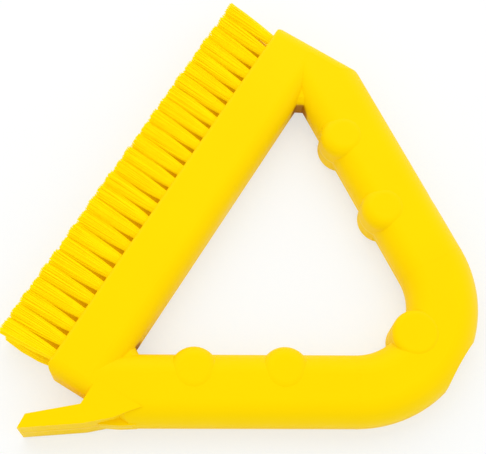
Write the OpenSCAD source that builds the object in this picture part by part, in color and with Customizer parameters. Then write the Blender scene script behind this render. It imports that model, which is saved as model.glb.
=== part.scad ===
// Grout brush with a closed triangular grip.
// X runs from the bristle tips to the grip's corner, Y runs along the head and Z is the thickness.
// The origin is at the middle of the head's lower flat side.

/* [Head] */
// Length of the head along the bristle row
head_len = 217; // [190:1:250]
// Depth of the head from the bristle face to the opening
head_depth = 29.5; // [26:0.5:36]
// Thickness of the head, the grip and the scraper
body_t = 25; // [23.5:0.5:30]
// Rounding of the head's long edges at the bristle face
face_edge_r = 2; // [1:0.5:4]
// Rounding of the head's long edges at the opening
inner_edge_r = 9; // [4:0.5:10]
// Rounding of the top and bottom edges at both ends
end_r = 7; // [4:0.5:10]
// Rounding of the head's corners beside the bristles
corner_round = 5; // [2:0.5:7]

/* [Grip] */
// Width of the grip, seen from above
grip_w = 34.9; // [30:0.1:40]
// Rounding of the grip's long edges
grip_edge_r = 11; // [8:0.25:11.5]
// Angle between the head and each side of the grip
grip_angle = 58.25; // [55:0.25:61]
// Bend radius of the grip's middle line at the corner
bend_r = 44.2; // [38:0.5:52]
// Distance from the bristle face to the grip's middle line at the corner
grip_reach = 151.5; // [140:0.5:170]
// How far the webs in the two narrow corners of the opening reach into it
web_reach = 3; // [2:0.25:6]
// Thickness of those webs at their face
web_t = 10; // [6:0.5:12]

/* [Finger studs] */
// Diameter of a finger stud
stud_d = 23.6; // [22.4:0.2:26]
// How far a stud stands proud of each flat side
stud_proud = 0.4; // [0.2:0.1:1]
// Rounding of the side studs' rims
stud_rim_r = 5.5; // [2:0.5:5.5]
// Rounding of the corner stud's rims
corner_rim_r = 3; // [1:0.5:5.5]
// How far the side studs reach into the opening past the grip's inner edge
stud_reach = 2.65; // [0.5:0.05:5]
// How far the corner stud reaches into the opening past the grip's inner edge
corner_stud_reach = 4.75; // [2.5:0.05:7]
// Distance from the bend to the first stud on each side
first_stud = 34.6; // [28:0.1:40]
// Distance between the two studs on each side
stud_pitch = 43.4; // [36:0.1:48]

/* [Thumb hollows] */
// Width of the hollow outside the corner stud
corner_hollow_w = 28; // [20:0.5:34]
// Depth of the hollow outside the corner stud
corner_hollow_depth = 2.6; // [1:0.1:4]
// Width of the hollow outside the first upper stud
side_hollow_w = 12; // [8:0.5:20]
// Depth of the hollow outside the first upper stud
side_hollow_depth = 1.3; // [0.5:0.1:2]

/* [Scraper] */
// How far the scraper stands out past the end of the head
scraper_out = 29.8; // [20:0.2:36]
// Setback of the scraper's nose from the bristle face
nose_setback = 5; // [2:0.5:10]
// Width of the scraper's nose
nose_w = 7.5; // [5:0.1:10]
// Setback of the bend in the scraper's outer edge from the bristle face
knee_setback = 30.2; // [26:0.2:34]
// How far that bend stands out past the end of the head
knee_out = 11.8; // [9:0.2:15]
// Setback of the notch beside the scraper from the bristle face
notch_setback = 24; // [20:0.5:27]
// How far the notch lies out from the end of the head
notch_out = 5; // [3:0.5:7]
// How far the heel of the scraper's outer edge lies inside the grip's outer edge
heel_inset = 4.124; // [2:0.002:8]
// Thickness of the fillet between the scraper's outer edge and the grip
heel_t = 11; // [6:0.5:14]
// Height of the parting ridge round the outside
ridge_h = 0.25; // [0.1:0.05:0.5]
// Thickness of the parting ridge
ridge_t = 0.6; // [0.3:0.1:1]

/* [Tufts] */
// Tufts in the upper and the lower row; the middle row has one fewer
tuft_count = 26; // [22:1:26]
// Distance from the end of the head to the middle of the first tuft
row_margin = 8.5; // [7:0.5:12]
// Distance between rows
row_pitch = 7; // [6.6:0.1:7.6]
// Diameter of a tuft where it leaves the head
tuft_d = 5; // [4:0.1:5.2]
// Clearance between a tuft and its hole on each side
tuft_play = 0.1; // [0.05:0.05:0.3]
// Gap between the tips of two parallel tufts in a row
tip_gap = 0.4; // [0.3:0.1:2]
// Length of the bristles outside the head
bristle_len = 28.6; // [20:0.2:38]
// Depth of the tuft holes
hole_depth = 13; // [10:0.5:16]
// Lean of the end tufts along the row
row_fan = 6; // [0:0.5:9]
// Lean of the upper and lower rows away from the middle row
side_fan = 3; // [0:0.5:6]

/* [Anchors] */
// Length of an anchor plate across its hole
anchor_w = 6.2; // [5.8:0.1:6.4]
// Height of an anchor plate along its hole
anchor_h = 2.6; // [2:0.1:4]
// Thickness of an anchor plate
anchor_t = 0.4; // [0.3:0.05:0.6]
// Clearance between an anchor plate and its slot on each side
anchor_play = 0.05; // [0.05:0.05:0.1]
// Thickness of the folded bristles under an anchor plate
fold_t = 1.6; // [1:0.1:3]

/* [Hidden] */
$fn = 96;
cut = 0.01;                         // overshoot of a cutting shape
grip_half = grip_w / 2;
half_len = head_len / 2;
half_t = body_t / 2;
seam = 0.5;                         // half length of the joint between a side of the grip and its bend
seam_proud = 0.04;
step = 0.1;                         // how far the grip's flat sides lie below the head's
wall_flat = 1.3;                    // half height of the flat left on the grip's side walls, at least
section_r = min(grip_edge_r, half_t - step - wall_flat);
web_flare = 2.5;                    // how much thicker a web gets on each side, up to the corner
web_slope = [4, 12];                // where a web's sloped flanks and its flat root end
web_sink = [4, 3.5];                // how far those places lie below the flat sides
stud_h = body_t + 2 * stud_proud;
stud_inset = grip_half + stud_reach - stud_d / 2;
corner_stud_inset = grip_half + corner_stud_reach - stud_d / 2;
side_hollow_lead = 5;               // how far the side hollow lies ahead of the first stud
bend_x = grip_reach - bend_r;       // centre of the grip's bend
bend_out = [sin(90 - grip_angle), sin(grip_angle)];   // from the bend's centre to where it ends
overrun = 1.3;                      // how much too long a side is made before its end is cut
side_len = overrun * (half_len - bend_r * bend_out[1]) / cos(grip_angle);
heel_setback = edge_x(half_len) - heel_inset;
scraper_root = end_r + 2;           // how far the scraper's root lies inside the end of the head
nose_cut = [0.6, 1.8, 0.9];         // cut corner of the nose: start, end and depth
heel_lip = [4.5, 2.1];              // last point of the scraper's outer edge, from its heel
heel_in = 4.2;                      // how far the heel lies inside the end of the head
heel_tail = 4;                      // how far the scraper's root reaches past its heel
fillet_start = [5, 4];              // first point of the heel's fillet, from the knee
fillet_lip = [1, 3.1];              // its outermost point, from the heel
fillet_end = [5.5, 1.3];            // where it runs into the grip, from the heel
fillet_root = [1, 8];               // its point inside the grip, from the heel
fillet_foot = [6, 3];               // its point inside the head, from the knee
tuft_pitch = (head_len - 2 * row_margin) / (tuft_count - 1);
tip_d = tuft_pitch - tip_gap;
hole_d = tuft_d + 2 * tuft_play;
tuft_fn = 32;
root_out = 0.3;                     // how far a tuft stays straight outside its hole
flare_sunk = 1.5;                   // how far the flared part of a tuft starts inside its root
flare_start_d = tuft_d - 0.4;

// Lean of tuft number i along its row
function lean(i, count) = row_fan * (2 * i - count + 1) / (count - 1);
// Place of tuft number i along its row
function tuft_y(i, count) = tuft_pitch * (i - (count - 1) / 2);
// Point at a distance along the upper side of the grip and an inset from its middle line
function side_point(along, inset) = [
    bend_x + (bend_r - inset) * bend_out[0] - along * bend_out[1],
    (bend_r - inset) * bend_out[1] + along * bend_out[0]
];
// Distance along the upper side of the grip at which its outer edge has this Y
function along_edge(y) = (y - side_point(0, -grip_half)[1]) / bend_out[0];
// Setback of the grip's outer edge from the bristle face at this Y
function edge_x(y) = side_point(along_edge(y), -grip_half)[0];
// Y at a distance past the end of the head, on the scraper's side
function past_end(out) = -half_len - out;

row_names = ["upper", "lower"];
function two_digits(n) = n < 10 ? str("0", n) : str(n);

module placed() {
    translate([-head_depth / 2, 0, half_t]) children();
}

module both_ends() {
    children();
    mirror([0, 1, 0]) children();
}

// A rectangle with its lower left corner at the origin and rounded corners on its right side
module round_right(w, h, r) {
    square([w - r, h]);
    translate([0, r]) square([w, h - 2 * r]);
    for (y = [r, h - r]) translate([w - r, y]) circle(r);
}

module head_section() {
    intersection() {
        translate([0, -half_t]) round_right(head_depth, body_t, inner_edge_r);
        translate([2 * head_depth, half_t]) rotate(180)
            round_right(2 * head_depth, body_t, face_edge_r);
    }
}

module head_block() {
    translate([0, half_len, 0]) rotate([90, 0, 0]) linear_extrude(head_len) head_section();
}

// The grip's cross-section, with the parting ridge on its outer side at +X
module grip_section(grow) {
    r = section_r + grow;
    w = grip_half + grow;
    t = half_t - step + grow;
    for (x = [r - w, w - r]) for (z = [r - t, t - r]) translate([x, z]) circle(r);
    translate([-w, r - t]) square([2 * w, 2 * (t - r)]);
    translate([r - w, -t]) square([2 * (w - r), 2 * t]);
    translate([0, -ridge_t / 2 - grow]) square([w + ridge_h, ridge_t + 2 * grow]);
}

// A straight length of the grip's upper side, between two distances from the bend
module grip_length(from, to, grow) {
    start = side_point(from, 0);
    translate([start[0], start[1], 0]) rotate([90, 0, grip_angle + 180]) mirror([1, 0, 0])
        linear_extrude(to - from) grip_section(grow);
}

module grip_bend() {
    translate([bend_x, 0, 0]) rotate(-grip_angle)
        rotate_extrude(angle = 2 * grip_angle) translate([bend_r, 0]) grip_section(0);
}

module grip() {
    grip_bend();
    both_ends() {
        grip_length(seam / 2, side_len, 0);
        grip_length(-seam, seam, seam_proud);
    }
}

// Everything that shapes the two ends of the head and of the grip's sides
module end_limits() {
    intersection() {
        rotate([90, 0, 90]) linear_extrude(grip_reach + grip_w) end_profile();
        translate([0, 0, -body_t]) linear_extrude(2 * body_t)
            translate([grip_reach + grip_w, half_len]) rotate(180)
                round_right(grip_reach + grip_w, head_len, corner_round);
    }
}

module end_profile() {
    for (side = [0, 1]) mirror([side, 0]) translate([0, -half_t])
        round_right(half_len, body_t, end_r);
}

// A web in the upper narrow corner, whose flanks slope up into the valley behind it
module corner_web() {
    inner = side_point(0, grip_half);
    y_corner = inner[1] + (inner[0] - head_depth) * bend_out[0] / bend_out[1];
    half = web_t / 2;
    rise = [half_t - web_sink[0], half_t - web_sink[1]];
    translate([head_depth, y_corner, 0]) rotate([90, 0, grip_angle / 2 - 90])
        linear_extrude(2 * web_t, center = true)
            for (side = [0, 1]) mirror([0, side])
                polygon([
                    [web_reach, 0], [web_reach, half], [0, half + web_flare],
                    [-web_slope[0], rise[0]], [-web_slope[1], rise[1]], [-web_slope[1], 0]
                ]);
}

module finger_stud(rim_r) {
    rotate_extrude() translate([0, -stud_h / 2]) round_right(stud_d / 2, stud_h, rim_r);
}

module finger_studs() {
    translate([grip_reach - corner_stud_inset, 0, 0]) finger_stud(corner_rim_r);
    both_ends() for (along = [first_stud, first_stud + stud_pitch]) {
        spot = side_point(along, stud_inset);
        translate([spot[0], spot[1], 0]) finger_stud(stud_rim_r);
    }
}

// An upright cutter whose round side takes a hollow of this width and depth out of a flat wall
module hollow_cutter(width, depth) {
    r = (width * width / 4 + depth * depth) / (2 * depth);
    translate([r - depth, 0, -body_t]) cylinder(r = r, h = 2 * body_t, $fn = 180);
}

module thumb_hollows() {
    outer = bend_r + grip_half;
    bulge = outer - sqrt(outer * outer - corner_hollow_w * corner_hollow_w / 4);
    translate([bend_x + outer - bulge, 0, 0])
        hollow_cutter(corner_hollow_w, corner_hollow_depth - bulge);
    spot = side_point(first_stud - side_hollow_lead, -grip_half);
    translate([spot[0], spot[1], 0]) rotate(grip_angle)
        hollow_cutter(side_hollow_w, side_hollow_depth);
}

module scraper_outline() {
    polygon([
        [nose_setback, past_end(scraper_out - nose_w)],
        [notch_setback, past_end(notch_out)],
        [notch_setback, past_end(-scraper_root)],
        [heel_setback + heel_tail, past_end(-scraper_root)],
        [heel_setback, past_end(-heel_in)],
        [heel_setback - heel_lip[0], past_end(heel_lip[1])],
        [knee_setback, past_end(knee_out)],
        [nose_setback + nose_cut[1], past_end(scraper_out - nose_cut[2])],
        [nose_setback + nose_cut[0], past_end(scraper_out)]
    ]);
}

// Fills the step between the scraper's outer edge and the grip at mid height
module heel_fillet() {
    translate([0, 0, -heel_t / 2]) linear_extrude(heel_t)
        polygon([
            [knee_setback + fillet_start[0], past_end(knee_out - fillet_start[1])],
            [heel_setback - fillet_lip[0], past_end(fillet_lip[1])],
            [heel_setback + fillet_end[0], past_end(-fillet_end[1])],
            [heel_setback + fillet_root[0], past_end(-fillet_root[1])],
            [knee_setback + fillet_foot[0], past_end(-fillet_foot[1])]
        ]);
}

module scraper() {
    translate([0, 0, -half_t]) linear_extrude(body_t) scraper_outline();
    translate([0.6 * ridge_h, -0.8 * ridge_h, -ridge_t / 2]) linear_extrude(ridge_t)
        scraper_outline();
}

// The slot that an anchor plate sits in, with its clearance
module anchor_slot() {
    w = anchor_w + 2 * anchor_play;
    t = anchor_t + 2 * anchor_play;
    h = anchor_h + 2 * anchor_play;
    translate([hole_depth - fold_t - anchor_h - anchor_play, -t / 2, -w / 2]) cube([h, t, w]);
}

// One hole with its anchor slot, opening towards -X at the bristle face
module tuft_hole() {
    translate([-cut, 0, 0]) rotate([0, 90, 0])
        cylinder(d = hole_d, h = hole_depth + cut, $fn = tuft_fn);
    anchor_slot();
}

module anchor() {
    translate([hole_depth - fold_t - anchor_h, -anchor_t / 2, -anchor_w / 2])
        cube([anchor_h, anchor_t, anchor_w]);
}

// A tuft folded round its anchor: a straight root in the hole and a flared, leaning brush part
module tuft(lean_y, lean_z) {
    difference() {
        union() {
            translate([-root_out, 0, 0]) rotate([0, 90, 0])
                cylinder(d = tuft_d, h = hole_depth + root_out - cut, $fn = tuft_fn);
            rotate([0, lean_z, -lean_y]) translate([flare_sunk, 0, 0]) rotate([0, -90, 0])
                cylinder(d1 = flare_start_d, d2 = tip_d, h = bristle_len + flare_sunk, $fn = tuft_fn);
        }
        anchor_slot();
    }
}

// Children once for each tuft of a row: side is 1 for the upper row, 0 for the middle, -1 for the lower
module along_row(side) {
    count = side == 0 ? tuft_count - 1 : tuft_count;
    for (i = [0:count - 1])
        translate([0, tuft_y(i, count), side * row_pitch]) children();
}

module handle() {
    color([1, 0.85, 0.02]) placed() difference() {
        union() {
            intersection() {
                union() {
                    head_block();
                    grip();
                }
                end_limits();
            }
            both_ends() corner_web();
            finger_studs();
            scraper();
            heel_fillet();
        }
        thumb_hollows();
        for (side = [-1:1]) along_row(side) tuft_hole();
    }
}

module anchors(side) {
    color([0.72, 0.72, 0.7]) placed() along_row(side) anchor();
}

module tuft_row_middle() {
    count = tuft_count - 1;
    color([1, 0.88, 0.12]) placed() for (i = [0:count - 1])
        translate([0, tuft_y(i, count), 0]) tuft(lean(i, count), 0);
}

module single_tuft(side, i) {
    color([1, 0.88, 0.12]) placed()
        translate([0, tuft_y(i, tuft_count), side * row_pitch])
            tuft(lean(i, tuft_count), side * side_fan);
}

handle();
tuft_row_middle();
anchors(1);  // anchors_upper
anchors(0);  // anchors_middle
anchors(-1);  // anchors_lower
for (i = [1:tuft_count]) {
    single_tuft(1, i - 1);
    single_tuft(-1, i - 1);
}
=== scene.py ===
import bpy
import math
import random
from mathutils import Matrix, Vector


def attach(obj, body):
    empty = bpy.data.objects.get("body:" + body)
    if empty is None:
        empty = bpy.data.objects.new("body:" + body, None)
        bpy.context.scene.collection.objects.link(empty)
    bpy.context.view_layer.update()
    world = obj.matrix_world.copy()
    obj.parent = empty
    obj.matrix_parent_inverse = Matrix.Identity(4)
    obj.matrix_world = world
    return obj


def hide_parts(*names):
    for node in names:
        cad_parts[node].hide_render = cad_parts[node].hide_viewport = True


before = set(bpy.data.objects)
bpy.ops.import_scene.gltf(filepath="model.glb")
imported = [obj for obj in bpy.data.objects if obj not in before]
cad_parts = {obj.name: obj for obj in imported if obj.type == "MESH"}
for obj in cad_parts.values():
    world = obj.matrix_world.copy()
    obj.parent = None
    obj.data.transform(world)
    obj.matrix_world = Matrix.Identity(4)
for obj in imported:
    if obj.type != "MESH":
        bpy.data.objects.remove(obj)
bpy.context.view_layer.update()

bpy.ops.object.select_all(action="DESELECT")
print("frame loaded:", len(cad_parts), "nodes")

shift = Vector((-0.01475, 0.0, 0.0125))   # middle of the bristle face, in the part's frame


# camera, at the photograph's angle

cameraSettings = {
    "place": (0.12678, -0.18201, 0.56665),
    "right": (0.85233, 0.52126, 0.04264),
    "down": (0.50307, -0.79483, -0.33937),
    "forward": (-0.14301, 0.31071, -0.93968),
    "focalPixels": 1200.0,
    "imageWidth": 486.0,
    "sensor": 36.0,
    "nearest": 0.01,
    "farthest": 20.0,
}


def makeCamera(s):
    data = bpy.data.cameras.new("photoCamera")
    data.sensor_fit = "HORIZONTAL"
    data.sensor_width = s["sensor"]
    data.lens = s["sensor"] * s["focalPixels"] / s["imageWidth"]
    data.clip_start = s["nearest"]
    data.clip_end = s["farthest"]
    camera = bpy.data.objects.new("photoCamera", data)
    bpy.context.scene.collection.objects.link(camera)
    right, down, forward = (Vector(s[k]) for k in ("right", "down", "forward"))
    turn = Matrix((right, -down, -forward)).transposed().to_4x4()
    camera.matrix_world = Matrix.Translation(Vector(s["place"]) + shift) @ turn
    bpy.context.scene.camera = camera


makeCamera(cameraSettings)
print("camera placed")


# floor and soft light

stageSettings = {
    "middle": (0.05, 0.0, 0.0),        # what the floor lies around and the lamp looks at
    "floorSize": 6.0,
    "floorHeight": -0.0005,
    "floorColour": (0.93, 0.945, 0.95, 1),
    "floorRoughness": 0.9,
    "floorGloss": 0.0,
    "glowColour": (0.985, 0.99, 0.985, 1),
    "glowShare": 0.6,                  # of the floor that the camera sees
    "roomColour": (1, 1, 1, 1),
    "roomStrength": 0.92,
    "keyPower": 7.0,
    "keySize": 1.6,
    "keyPlace": (-0.5, 0.7, 1.3),
}


def makeFloor(s):
    x, y = s["middle"][:2]
    bpy.ops.mesh.primitive_plane_add(size=s["floorSize"], location=(x, y, s["floorHeight"]))
    floor = bpy.context.object
    floor.name = "paleFloor"
    mat = bpy.data.materials.new("paleFloor")
    mat.use_nodes = True
    nodes, links = mat.node_tree.nodes, mat.node_tree.links
    shader = nodes["Principled BSDF"]
    shader.inputs["Base Color"].default_value = s["floorColour"]
    shader.inputs["Roughness"].default_value = s["floorRoughness"]
    shader.inputs["Specular IOR Level"].default_value = s["floorGloss"]
    glow = nodes.new("ShaderNodeEmission")
    glow.inputs["Color"].default_value = s["glowColour"]
    seen = nodes.new("ShaderNodeLightPath")
    share = nodes.new("ShaderNodeMath")
    share.operation = "MULTIPLY"
    share.inputs[1].default_value = s["glowShare"]
    links.new(seen.outputs["Is Camera Ray"], share.inputs[0])
    mix = nodes.new("ShaderNodeMixShader")
    links.new(share.outputs[0], mix.inputs["Fac"])
    links.new(shader.outputs[0], mix.inputs[1])
    links.new(glow.outputs[0], mix.inputs[2])
    links.new(mix.outputs[0], nodes["Material Output"].inputs["Surface"])
    floor.data.materials.append(mat)


def makeLight(s):
    world = bpy.data.worlds.new("softRoom")
    bpy.context.scene.world = world
    world.use_nodes = True
    room = world.node_tree.nodes["Background"]
    room.inputs["Color"].default_value = s["roomColour"]
    room.inputs["Strength"].default_value = s["roomStrength"]
    lamp = bpy.data.lights.new("softKey", "AREA")
    lamp.size = s["keySize"]
    lamp.energy = s["keyPower"]
    key = bpy.data.objects.new("softKey", lamp)
    bpy.context.scene.collection.objects.link(key)
    key.location = s["keyPlace"]
    aim = Vector(s["middle"]) - key.location
    key.rotation_euler = aim.to_track_quat("-Z", "Y").to_euler()


makeFloor(stageSettings)
makeLight(stageSettings)
bpy.context.scene.view_settings.view_transform = "Standard"
print("floor and light placed")


# materials

plasticSettings = {
    "colour": (1.0, 0.70, 0.0004, 1),
    "shade": (0.97, 0.66, 0.0004, 1),
    "mottleScale": 28.0,
    "grainScale": 2400.0,
    "grainHeight": 0.00003,
    "grainStrength": 0.5,
    "cloudEnds": (0.3, 0.7),                  # values of the mottle that are smoothest and roughest
    "smooth": 0.42,
    "rough": 0.6,
    "gloss": 0.3,
    "glossTint": (1.0, 0.7, 0.02, 1),
    "seamColour": (1.0, 0.78, 0.16, 1),       # paler line where the two mould halves meet
    "seamHalf": 0.0006,                       # half its thickness
    "seamSharp": 0.5,                         # full colour up to this share of that half
    "seamShare": 0.7,
    "cornerShadeColour": (0.38, 0.125, 0.0005, 1),   # painted shade: brown darkening in the two narrow corners of the opening
    "cornerShadePlaces": ((0.0315, 0.077, -0.001), (0.0315, -0.077, -0.001)),
    "cornerShadeInner": 0.004,                       # full colour up to here
    "cornerShadeOuter": 0.0075,                      # and none past here
    "cornerShadeShare": 0.9,
}

bristleSettings = {
    "colour": (0.98, 0.80, 0.002, 1),
    "shade": (0.97, 0.71, 0.001, 1),
    "rootShadeColour": (0.78, 0.36, 0.0004, 1),    # painted shade: darker colour where filaments leave the head and shade each other
    "mottleScale": 160.0,
    "grainScale": 3000.0,
    "grainHeight": 0.000015,
    "grainStrength": 0.3,
    "glowColour": (1.0, 0.84, 0.0, 1),        # painted glow: emission standing in for light bounced between the filaments
    "glow": 0.13,
    "roughness": 0.5,
    "gloss": 0.25,
    "glossTint": (1.0, 0.8, 0.05, 1),
}

steelSettings = {
    "colour": (0.6, 0.6, 0.58, 1),
    "shade": (0.42, 0.42, 0.41, 1),
    "mottleScale": 300.0,
    "grainScale": 1800.0,
    "grainHeight": 0.00001,
    "grainStrength": 0.4,
    "cloudEnds": (0.3, 0.7),
    "smooth": 0.25,
    "rough": 0.45,
    "metal": 1.0,
}

grainDetail = {"mottle": 4.0, "fine": 2.0}   # of the two noises in every material


def startGroup(name, inputs, outputs):
    tree = bpy.data.node_groups.new(name, "ShaderNodeTree")
    for title, kind in inputs:
        tree.interface.new_socket(title, in_out="INPUT", socket_type=kind)
    for title, kind in outputs:
        tree.interface.new_socket(title, in_out="OUTPUT", socket_type=kind)
    return tree, tree.nodes.new("NodeGroupInput"), tree.nodes.new("NodeGroupOutput")


def feed(tree, value, socket):
    if isinstance(value, bpy.types.NodeSocket):
        tree.links.new(value, socket)
    else:
        socket.default_value = value


def mixNode(tree, factor, a, b):
    mix = tree.nodes.new("ShaderNodeMix")
    mix.data_type = "RGBA"
    for title, value in (("Factor", factor), ("A", a), ("B", b)):
        feed(tree, value, [k for k in mix.inputs if k.name == title and k.enabled][0])
    return [k for k in mix.outputs if k.enabled][0]


def mathNode(tree, operation, a, b=0.0):
    node = tree.nodes.new("ShaderNodeMath")
    node.operation = operation
    feed(tree, a, node.inputs[0])
    feed(tree, b, node.inputs[1])
    return node.outputs[0]


def mapNode(tree, value, fromLow, fromHigh, toLow, toHigh):
    node = tree.nodes.new("ShaderNodeMapRange")
    node.interpolation_type = "SMOOTHSTEP"
    titles = ("Value", "From Min", "From Max", "To Min", "To Max")
    for title, entry in zip(titles, (value, fromLow, fromHigh, toLow, toHigh)):
        feed(tree, entry, node.inputs[title])
    return node.outputs["Result"]


def noiseNode(tree, place, scale, detail):
    node = tree.nodes.new("ShaderNodeTexNoise")
    node.inputs["Detail"].default_value = detail
    tree.links.new(place, node.inputs["Vector"])
    tree.links.new(scale, node.inputs["Scale"])
    return node.outputs["Fac"]


def buildGrainGroup():
    inputs = (("Colour", "NodeSocketColor"), ("Shade", "NodeSocketColor"),
              ("Mottle Scale", "NodeSocketFloat"), ("Grain Scale", "NodeSocketFloat"))
    outputs = (("Colour", "NodeSocketColor"), ("Height", "NodeSocketFloat"), ("Cloud", "NodeSocketFloat"))
    tree, given, made = startGroup("surfaceGrain", inputs, outputs)
    place = tree.nodes.new("ShaderNodeTexCoord").outputs["Object"]
    cloud = noiseNode(tree, place, given.outputs["Mottle Scale"], grainDetail["mottle"])
    fine = noiseNode(tree, place, given.outputs["Grain Scale"], grainDetail["fine"])
    colour = mixNode(tree, cloud, given.outputs["Colour"], given.outputs["Shade"])
    tree.links.new(colour, made.inputs["Colour"])
    tree.links.new(fine, made.inputs["Height"])
    tree.links.new(cloud, made.inputs["Cloud"])
    return tree


# mask for painted shade: full near a place, fading to none further out
def buildSpotGroup():
    inputs = (("Place", "NodeSocketVector"), ("Inner", "NodeSocketFloat"), ("Outer", "NodeSocketFloat"))
    tree, given, made = startGroup("cornerShadeSpot", inputs, (("Mask", "NodeSocketFloat"),))
    here = tree.nodes.new("ShaderNodeTexCoord").outputs["Object"]
    away = tree.nodes.new("ShaderNodeVectorMath")
    away.operation = "DISTANCE"
    tree.links.new(here, away.inputs[0])
    tree.links.new(given.outputs["Place"], away.inputs[1])
    mask = mapNode(tree, away.outputs["Value"], given.outputs["Inner"], given.outputs["Outer"], 1.0, 0.0)
    tree.links.new(mask, made.inputs["Mask"])
    return tree


grainGroup = buildGrainGroup()
spotGroup = buildSpotGroup()


def startMaterial(name, s):
    mat = bpy.data.materials.new(name)
    mat.use_nodes = True
    tree = mat.node_tree
    shader = tree.nodes["Principled BSDF"]
    grain = tree.nodes.new("ShaderNodeGroup")
    grain.node_tree = grainGroup
    for title, key in (("Colour", "colour"), ("Shade", "shade"),
                       ("Mottle Scale", "mottleScale"), ("Grain Scale", "grainScale")):
        grain.inputs[title].default_value = s[key]
    bump = tree.nodes.new("ShaderNodeBump")
    bump.inputs["Distance"].default_value = s["grainHeight"]
    bump.inputs["Strength"].default_value = s["grainStrength"]
    tree.links.new(grain.outputs["Height"], bump.inputs["Height"])
    tree.links.new(bump.outputs["Normal"], shader.inputs["Normal"])
    return mat, tree, shader, grain


def setRoughness(tree, shader, grain, s):
    low, high = s["cloudEnds"]
    rough = mapNode(tree, grain.outputs["Cloud"], low, high, s["smooth"], s["rough"])
    tree.links.new(rough, shader.inputs["Roughness"])


def setGloss(shader, s):
    shader.inputs["Specular IOR Level"].default_value = s["gloss"]
    shader.inputs["Specular Tint"].default_value = s["glossTint"]


# painted shade: mask of the brown darkening around one narrow corner of the opening
def cornerShadeMask(tree, place, s):
    spot = tree.nodes.new("ShaderNodeGroup")
    spot.node_tree = spotGroup
    spot.inputs["Place"].default_value = Vector(place) + shift
    spot.inputs["Inner"].default_value = s["cornerShadeInner"]
    spot.inputs["Outer"].default_value = s["cornerShadeOuter"]
    return mathNode(tree, "MULTIPLY", spot.outputs["Mask"], s["cornerShadeShare"])


def seamMask(tree, s):
    here = tree.nodes.new("ShaderNodeTexCoord").outputs["Object"]
    split = tree.nodes.new("ShaderNodeSeparateXYZ")
    tree.links.new(here, split.inputs[0])
    height = mathNode(tree, "SUBTRACT", split.outputs["Z"], shift.z)
    away = mathNode(tree, "ABSOLUTE", height)
    return mapNode(tree, away, s["seamSharp"] * s["seamHalf"], s["seamHalf"], s["seamShare"], 0.0)


def plasticMaterial(s):
    mat, tree, shader, grain = startMaterial("mouldedPlastic", s)
    colour = mixNode(tree, seamMask(tree, s), grain.outputs["Colour"], s["seamColour"])
    # painted shade: the two narrow corners of the opening are darkened to brown
    for place in s["cornerShadePlaces"]:
        colour = mixNode(tree, cornerShadeMask(tree, place, s), colour, s["cornerShadeColour"])
    tree.links.new(colour, shader.inputs["Base Color"])
    setRoughness(tree, shader, grain, s)
    setGloss(shader, s)
    return mat


def bristleMaterial(s):
    mat, tree, shader, grain = startMaterial("bristleFilament", s)
    # random tone of each filament plus painted shade at the roots
    toneAndShade = tree.nodes.new("ShaderNodeAttribute")
    toneAndShade.attribute_name = "toneAndShade"
    colour = mixNode(tree, toneAndShade.outputs["Fac"], grain.outputs["Colour"], s["rootShadeColour"])
    tree.links.new(colour, shader.inputs["Base Color"])
    # painted glow: the filaments give off a little yellow light in place of light bounced between them
    shader.inputs["Emission Color"].default_value = s["glowColour"]
    shader.inputs["Emission Strength"].default_value = s["glow"]
    shader.inputs["Roughness"].default_value = s["roughness"]
    setGloss(shader, s)
    return mat


def steelMaterial(s):
    mat, tree, shader, grain = startMaterial("stripSteel", s)
    tree.links.new(grain.outputs["Colour"], shader.inputs["Base Color"])
    setRoughness(tree, shader, grain, s)
    shader.inputs["Metallic"].default_value = s["metal"]
    return mat


plastic = plasticMaterial(plasticSettings)
bristle = bristleMaterial(bristleSettings)
steel = steelMaterial(steelSettings)


def dressNode(name, mat):
    for slot in bpy.data.objects[name].material_slots:
        slot.material = mat


dressNode("handle", plastic)
for row in ("upper", "middle", "lower"):
    dressNode("anchors_" + row, steel)
print("materials made")


# bristle tufts, in an upper row (1), a middle row (0) and a lower row (-1)

tuftSettings = {
    "count": 26,                                   # in the upper and lower rows; the middle one has one fewer
    "pitch": 0.008,
    "rowPitch": 0.007,
    "rowLean": 2.0,                                # lean of all tufts along their row, in degrees
    "rowFan": {1: 3.0, 0: 2.0, -1: 1.0},           # how much more the end tufts of a row lean
    "sideFan": 1.6,                                # lean of the outer rows away from the middle one
    "length": 0.0286,
    "sunk": 0.0012,                                # how far a filament starts inside its hole
    "rootRadius": {1: 0.0024, 0: 0.0024, -1: 0.0030},
    "tipRadius": 0.0042,
    "swell": {1: 0.0003, 0: 0.0009, -1: 0.0013},   # how much wider than straight a tuft is half way
    "seed": 40,
    "filaments": 180,
    "filamentTurn": 2.399963,                      # from one to the next, in radians, as in a sunflower
    "filamentRadius": 0.00026,
    "filamentTaper": 0.2,
    "filamentSides": 4,
    "filamentSections": 3,
    "wave": 0.00014,                               # how far a filament wanders at half its length
    "stray": 0.00024,                              # and at its tip
    "uneven": 0.00024,                             # spread of the lengths of whole tufts
    "shortest": 0.0012,                            # how much shorter a filament may be
    "longer": 0.0003,                              # and how much longer
    "coreShare": 0.72,                             # packed middle of the bundle, against the whole
    "coreReach": 0.93,
    "coreClose": 8.0,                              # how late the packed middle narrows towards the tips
    "coreTaper": 0.9,
    "coreTone": 0.04,
    "coreSides": 12,
    "coreSections": 10,
    "rootShade": {1: 0.1, 0: 0.9, -1: 0.5},         # painted shade: how much darker a row's tufts are at the head
    "rootShadeFade": {1: 4.0, 0: 2.5, -1: 3.0},         # and how soon that ends
    "toneSpread": 0.08,
    "smoothAngle": 50.0,
}


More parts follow.
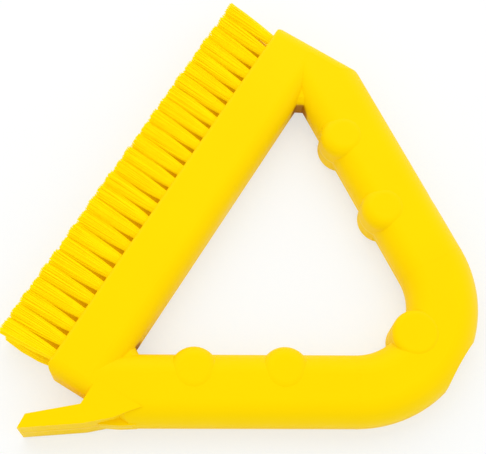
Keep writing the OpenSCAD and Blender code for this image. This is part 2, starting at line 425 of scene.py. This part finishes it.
# one rod of unit radius and length, copied into every tuft
def modelRod(sides, sections):
    bpy.ops.object.select_all(action="DESELECT")
    bpy.ops.mesh.primitive_cylinder_add(vertices=sides, radius=1.0, depth=1.0,
                                        end_fill_type="NGON", location=(0, 0, 0.5))
    piece = bpy.context.object
    bpy.ops.object.transform_apply(location=True, rotation=True, scale=True)
    bpy.ops.object.mode_set(mode="EDIT")
    for k in range(1, sections):
        bpy.ops.mesh.select_all(action="SELECT")
        bpy.ops.mesh.bisect(plane_co=(0, 0, k / sections), plane_no=(0, 0, 1))
    bpy.ops.object.mode_set(mode="OBJECT")
    points = [v.co.copy() for v in piece.data.vertices]
    faces = [tuple(p.vertices) for p in piece.data.polygons]
    bpy.data.objects.remove(piece, do_unlink=True)
    return points, faces


def placeRod(row, rod, path, width, toneAndShade):
    first = len(row["points"])
    for p in rod[0]:
        centre, radius = path(p.z), width(p.z)
        row["points"].append(centre + Vector((0, p.x * radius, p.y * radius)))
        row["toneAndShadeValues"].append(toneAndShade(p.z))
    row["faces"].extend(tuple(first + i for i in face) for face in rod[1])


def bow(t):
    return 4 * t * (1 - t)   # 0 at both ends and 1 half way


def tuftRadius(t, side, s):
    root = s["rootRadius"][side]
    return root + (s["tipRadius"] - root) * t + s["swell"][side] * bow(t)


def coreRadius(t, side, s):
    wide = s["coreShare"] * tuftRadius(s["coreReach"] * t, side, s)
    return wide * (1 - s["coreTaper"] * t ** s["coreClose"])


# painted shade: darkening of a row's filaments towards the head, strongest in the middle row
def rootShade(t, side, s):
    return s["rootShade"][side] * (1 - t) ** s["rootShadeFade"][side]


def addTuft(row, base, leanY, side, dice, s):
    leanZ = side * s["sideFan"]
    axis = Vector((-1, math.tan(math.radians(leanY)), math.tan(math.radians(leanZ))))
    start = base + Vector((s["sunk"], 0, 0))
    reach = s["length"] + s["sunk"]
    turn = dice.uniform(0, 2 * math.pi)
    trim = dice.gauss(0, s["uneven"])
    placeRod(row, coreRod,
             lambda t: start + axis * (reach * s["coreReach"] * t),
             lambda t: coreRadius(t, side, s),
             lambda t: s["coreTone"] + rootShade(s["coreReach"] * t, side, s))
    for k in range(s["filaments"]):
        out = math.sqrt((k + 0.5) / s["filaments"])
        angle = s["filamentTurn"] * k + turn
        spread = Vector((0, out * math.cos(angle), out * math.sin(angle)))
        wave = Vector((0, dice.gauss(0, s["wave"]), dice.gauss(0, s["wave"])))
        stray = Vector((0, dice.gauss(0, s["stray"]), dice.gauss(0, s["stray"])))
        cut = reach + trim - dice.uniform(0, 1) ** 2 * s["shortest"] + s["longer"]
        shade = dice.uniform(0, s["toneSpread"])
        placeRod(row, filamentRod,
                 lambda t: (start + axis * (cut * t) + spread * tuftRadius(t, side, s)
                            + wave * bow(t) + stray * t),
                 lambda t: s["filamentRadius"] * (1 - s["filamentTaper"] * t),
                 lambda t: shade + rootShade(t, side, s))


def meshRow(name, row, s):
    mesh = bpy.data.meshes.new(name)
    mesh.from_pydata(row["points"], [], row["faces"])
    mesh.update()
    # per point: random tone plus painted root shade
    layer = mesh.attributes.new("toneAndShade", "FLOAT", "POINT")
    layer.data.foreach_set("value", row["toneAndShadeValues"])
    piece = bpy.data.objects.new(name, mesh)
    bpy.context.scene.collection.objects.link(piece)
    piece.data.materials.append(bristle)
    bpy.ops.object.select_all(action="DESELECT")
    piece.select_set(True)
    bpy.context.view_layer.objects.active = piece
    bpy.ops.object.mode_set(mode="EDIT")
    bpy.ops.mesh.select_all(action="SELECT")
    bpy.ops.mesh.normals_make_consistent(inside=False)
    bpy.ops.object.mode_set(mode="OBJECT")
    bpy.ops.object.shade_smooth_by_angle(angle=math.radians(s["smoothAngle"]))
    return piece


def makeRow(name, side, nodes, s):
    dice = random.Random(s["seed"] + side)
    count = s["count"] if side else s["count"] - 1
    row = {"points": [], "faces": [], "toneAndShadeValues": []}
    for i in range(count):
        place = shift + Vector((0, s["pitch"] * (i - (count - 1) / 2), side * s["rowPitch"]))
        leanY = s["rowLean"] + s["rowFan"][side] * (2 * i - count + 1) / (count - 1)
        addTuft(row, place, leanY, side, dice, s)
    piece = meshRow(name, row, s)
    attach(piece, "root")
    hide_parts(*nodes)
    print(name, len(piece.data.polygons), "faces")


filamentRod = modelRod(tuftSettings["filamentSides"], tuftSettings["filamentSections"])
coreRod = modelRod(tuftSettings["coreSides"], tuftSettings["coreSections"])
numbered = ["%02d" % i for i in range(1, tuftSettings["count"] + 1)]
makeRow("upperBristles", 1, ["tuft_upper_" + n for n in numbered], tuftSettings)
makeRow("lowerBristles", -1, ["tuft_lower_" + n for n in numbered], tuftSettings)
makeRow("middleBristles", 0, ["tuft_row_middle"], tuftSettings)
